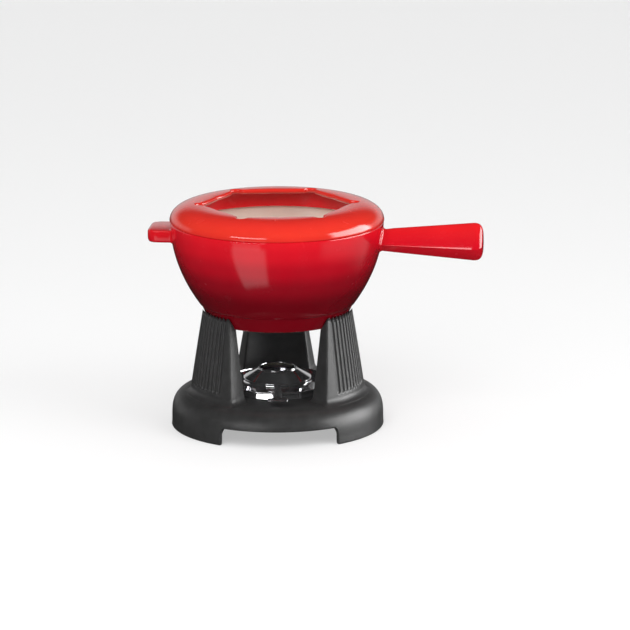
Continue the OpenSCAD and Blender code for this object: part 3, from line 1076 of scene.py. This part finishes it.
def math_node(tree, operation, first, second=None):
    """One Math node; each operand is a socket or a number."""
    node = add_node(tree, "ShaderNodeMath", operation=operation)
    for socket, operand in zip(node.inputs, (first, second)):
        if isinstance(operand, (int, float)):
            socket.default_value = operand
        elif operand is not None:
            tree.links.new(operand, socket)
    return node.outputs["Value"]


# What shiny surfaces see of the studio: each panel's azimuth in degrees from the camera's side
# to the right, its elevation, the softness of its edge and its brightness.
PANELS = [
    ((-51, -12), (13, 21), 1.5, 7.0),
    ((-51, -13), (-53, -19), 3.5, 1.0),
    ((-49, -18), (-20, -8), 2.0, 0.7),
    ((62, 118), (-3, 32), 5.0, 8.0),
    ((50, 120), (-26, -6), 8.0, 0.4),
]
BACKDROP = ((105, 255), (-4, 15), 6.0, 0.52)


def make_world():
    """Even white dome for soft light, and panels with a backdrop for reflections."""
    world = bpy.data.worlds.new("studio")
    bpy.context.scene.world = world
    world.use_nodes = True
    world.cycles.sampling_method = "NONE"
    tree = world.node_tree
    background = tree.nodes["Background"]
    place = add_node(tree, "ShaderNodeTexCoord")
    split = add_node(tree, "ShaderNodeSeparateXYZ")
    tree.links.new(place.outputs["Generated"], split.inputs["Vector"])
    toward = math_node(tree, "MULTIPLY", split.outputs["Y"], -1)
    azimuth = math_node(tree, "ARCTAN2", split.outputs["X"], toward)
    mirrored = math_node(tree, "MULTIPLY", split.outputs["X"], -1)
    behind = math_node(tree, "ARCTAN2", mirrored, split.outputs["Y"])
    elevation = math_node(tree, "ARCSINE", split.outputs["Z"])
    studio = STUDIO_DARK
    for (left, right), (low, high), edge, power in [*PANELS, BACKDROP]:
        soft = math.radians(edge)
        around = azimuth
        if right > 180:
            around, left, right = behind, left - 180, right - 180
        across = soft_box(tree, around, math.radians(left), math.radians(right), soft)
        up = soft_box(tree, elevation, math.radians(low), math.radians(high), soft)
        panel = math_node(tree, "MULTIPLY", math_node(tree, "MULTIPLY", across, up), power)
        studio = math_node(tree, "ADD", panel, studio)
    dome = add_node(tree, "ShaderNodeMapRange")
    dome.inputs["From Min"].default_value = -0.1
    dome.inputs["From Max"].default_value = 1.0
    dome.inputs["To Min"].default_value = DOME_LOW
    dome.inputs["To Max"].default_value = DOME_HIGH
    tree.links.new(split.outputs["Z"], dome.inputs["Value"])
    rays = add_node(tree, "ShaderNodeLightPath")
    glossy = math_node(tree, "MULTIPLY", studio, rays.outputs["Is Glossy Ray"])
    other = math_node(tree, "SUBTRACT", 1.0, rays.outputs["Is Glossy Ray"])
    light = math_node(tree, "ADD", glossy, math_node(tree, "MULTIPLY", dome.outputs["Result"], other))
    tree.links.new(light, background.inputs["Color"])
    background.inputs["Strength"].default_value = 1.0


def make_lamp(name, place, target, size, power):
    """A soft rectangular lamp, seen by no mirror and not by the camera."""
    light = bpy.data.lights.new(name, "AREA")
    light.shape = "RECTANGLE"
    light.size, light.size_y = size
    light.energy = power
    lamp = bpy.data.objects.new(name, light)
    lamp.location = place
    lamp.rotation_euler = (Vector(target) - Vector(place)).to_track_quat("-Z", "Y").to_euler()
    lamp.visible_camera = False
    lamp.visible_glossy = False
    bpy.context.scene.collection.objects.link(lamp)


def make_camera():
    """A long lens on the -Y side, looking down by about 13.5 degrees."""
    distance, height = 3.6, 0.974
    yaw, pitch, roll = 0.0104, 0.23566, -0.002
    sensor = 36.0
    focal_pixels, frame_pixels = 3727.3, 630
    level = math.cos(pitch)
    forward = Vector((math.sin(yaw) * level, math.cos(yaw) * level, -math.sin(pitch)))
    side = Vector((math.cos(yaw), -math.sin(yaw), 0))
    up = side.cross(forward)
    right = side * math.cos(roll) + up * math.sin(roll)
    up = right.cross(forward)
    data = bpy.data.cameras.new("camera")
    data.sensor_width = sensor
    data.lens = focal_pixels / frame_pixels * sensor
    camera = bpy.data.objects.new("camera", data)
    turn = Matrix((right, up, -forward)).transposed()
    camera.matrix_world = Matrix.Translation((0, -distance, height)) @ turn.to_4x4()
    bpy.context.scene.collection.objects.link(camera)
    bpy.context.scene.camera = camera


# ---------------------------------------------------------------- build

bpy.context.scene.view_settings.view_transform = "Standard"
make_camera()
make_floor()
make_world()
make_lamp("key", (-0.4, -1.7, 1.6), (0, 0, 0.1), (1.4, 1.4), 26)
make_lamp("fill", (1.5, -1.0, 1.3), (0, 0, 0.1), (1.2, 1.2), 15)

make_stand_base()
for leg_node, leg_azimuth in LEG_AZIMUTHS.items():
    make_leg(leg_node, leg_azimuth)
make_bowl()
make_handle()
make_lug()
make_ring()
make_tray()
make_cover()
make_strap()
make_grip()
make_gauze()
make_pad()
finish_cad_node("fuel_cup", CHROME)
finish_cad_node("vent_collar", CHROME)
finish_cad_node("gauze_clip", LEVER_STEEL)
finish_cad_node("lever_rivets", LEVER_STEEL)
